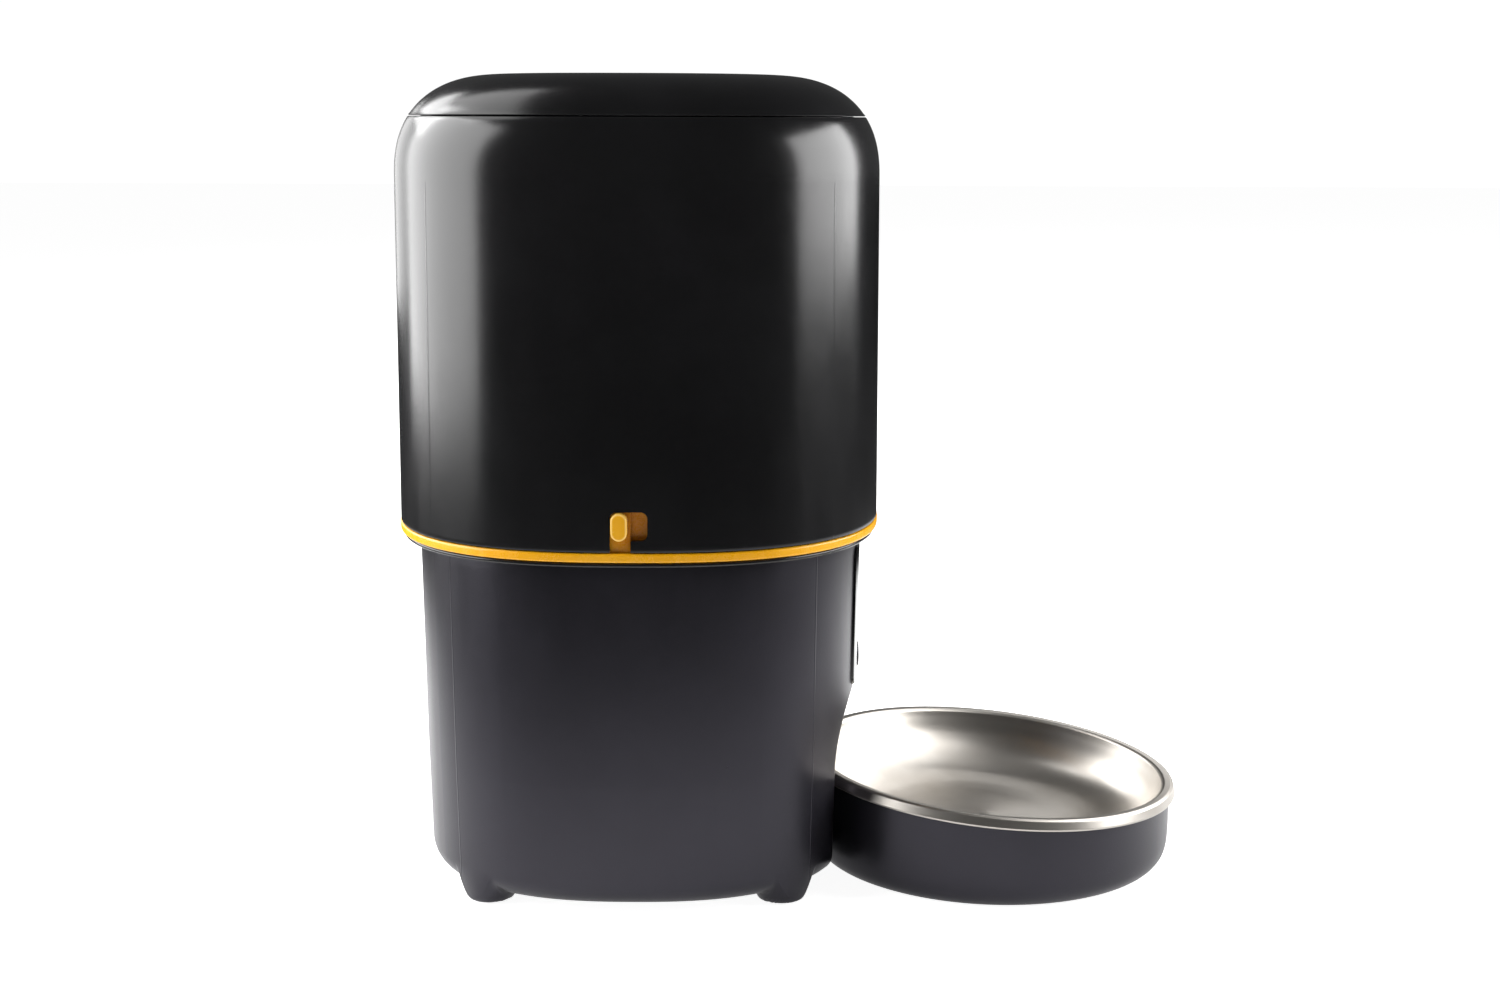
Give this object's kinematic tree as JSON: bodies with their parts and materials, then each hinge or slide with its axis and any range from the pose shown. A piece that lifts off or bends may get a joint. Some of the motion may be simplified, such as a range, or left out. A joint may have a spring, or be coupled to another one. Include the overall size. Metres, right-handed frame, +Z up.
{
  "type": "automatic pet feeder",
  "caption": "Automatic dry-food dispenser: lift-off tank with lid over a rotor tray, powered base with chute, and a steel bowl in a holder docked at its foot.",
  "frame": {"origin": "on the ground, under the middle of the whole object seen from above", "axes": "+Z up, +X from the tank towards the bowl, -Y the side that carries the latch knob"},
  "size_m": [0.2988, 0.1818, 0.2993],
  "materials": {
    "tank_black": "satin moulded black",
    "base_black": "fine satin charcoal",
    "amber": "satin amber",
    "panel_black": "polished black",
    "dark_inner": "plain moulded",
    "natural": "natural moulded",
    "soft": "matt rubber",
    "board": "solder mask",
    "bowl_steel": "satin stainless",
    "machine_steel": "plain steel",
    "brass": "turned brass",
    "lens": "clear moulded"
  },
  "bodies": {
    "base": {"base_shell": "base_black", "base_deck": "tank_black", "bottom_plate": "base_black", "foot_pad_1": "soft", "foot_pad_2": "soft", "foot_pad_3": "soft", "foot_pad_4": "soft", "front_panel": "panel_black", "status_lens": "lens", "button_board": "board", "main_board": "board", "motor": "machine_steel", "gear_head": "machine_steel", "gear_case": "dark_inner", "shaft_bushing": "brass", "chute": "dark_inner", "sensor_emitter": "panel_black", "sensor_receiver": "panel_black", "power_socket": "panel_black", "battery_box": "dark_inner", "battery_contact_rear": "machine_steel", "battery_contact_front": "machine_steel", "bottom_screw_1": "machine_steel", "bottom_screw_2": "machine_steel", "bottom_screw_3": "machine_steel", "bottom_screw_4": "machine_steel", "deck_screw_1": "machine_steel", "deck_screw_2": "machine_steel", "deck_screw_3": "machine_steel", "deck_screw_4": "machine_steel"},
    "drive": {"drive_gear": "natural", "drive_shaft": "machine_steel"},
    "motor_output": {"pinion": "brass", "motor_shaft": "machine_steel"},
    "dispenser": {"dispenser_tray": "amber", "rotor_cover": "natural"},
    "rotor": {"rotor": "natural", "agitator": "soft"},
    "latch": {"latch_slider": "amber"},
    "tank": {"tank_shell": "tank_black", "tank_funnel": "dark_inner"},
    "lid": {"lid_shell": "tank_black", "lid_plug": "natural", "lid_seal": "soft", "desiccant_box": "natural"},
    "desiccant_cap": {"desiccant_cap": "natural"},
    "feed_button": {"feed_button": "base_black"},
    "battery_door": {"battery_door": "base_black"},
    "bowl_holder": {"bowl_holder": "base_black"},
    "bowl": {"bowl": "bowl_steel"}
  },
  "joints": [
    {"name": "drive_spin", "type": "hinge", "parent": "base", "child": "drive", "pos_m": [-0.05919, 0, 0.115], "axis": [0, 0, 1], "continuous": true},
    {"name": "pinion_spin", "type": "hinge", "parent": "base", "child": "motor_output", "pos_m": [-0.08219, 0, 0.115], "axis": [0, 0, 1], "continuous": true},
    {"name": "dispenser_lift", "type": "slide", "parent": "base", "child": "dispenser", "axis": [0, 0, 1], "range_m": [0, 0.04]},
    {"name": "rotor_spin", "type": "hinge", "parent": "dispenser", "child": "rotor", "pos_m": [-0.05919, 0, 0.146], "axis": [0, 0, 1], "continuous": true},
    {"name": "latch_slide", "type": "slide", "parent": "dispenser", "child": "latch", "axis": [1, 0, 0], "range_m": [0, 0.006]},
    {"name": "tank_lift", "type": "slide", "parent": "dispenser", "child": "tank", "axis": [0, 0, 1], "range_m": [0, 0.06]},
    {"name": "lid_lift", "type": "slide", "parent": "tank", "child": "lid", "axis": [0, 0, 1], "range_m": [0, 0.05]},
    {"name": "desiccant_cap_twist", "type": "hinge", "parent": "lid", "child": "desiccant_cap", "pos_m": [-0.05919, 0, 0.266], "axis": [0, 0, 1], "range_deg": [0, 45]},
    {"name": "feed_button_press", "type": "slide", "parent": "base", "child": "feed_button", "axis": [-1, 0, 0], "range_m": [0, 0.0008], "stiffness_N_per_m": 600},
    {"name": "battery_door_swing", "type": "hinge", "parent": "base", "child": "battery_door", "pos_m": [-0.10269, 0, 0.0052], "axis": [0, 1, 0], "range_deg": [0, 100]},
    {"name": "bowl_holder_slide", "type": "slide", "parent": "base", "child": "bowl_holder", "axis": [1, 0, 0], "range_m": [0, 0.06]},
    {"name": "bowl_lift", "type": "slide", "parent": "bowl_holder", "child": "bowl", "axis": [0, 0, 1], "range_m": [0, 0.012]}
  ],
  "couplings": [
    {"joint": "pinion_spin", "follows": "drive_spin", "ratio": -2.8333},
    {"joint": "rotor_spin", "follows": "drive_spin", "ratio": 1}
  ]
}
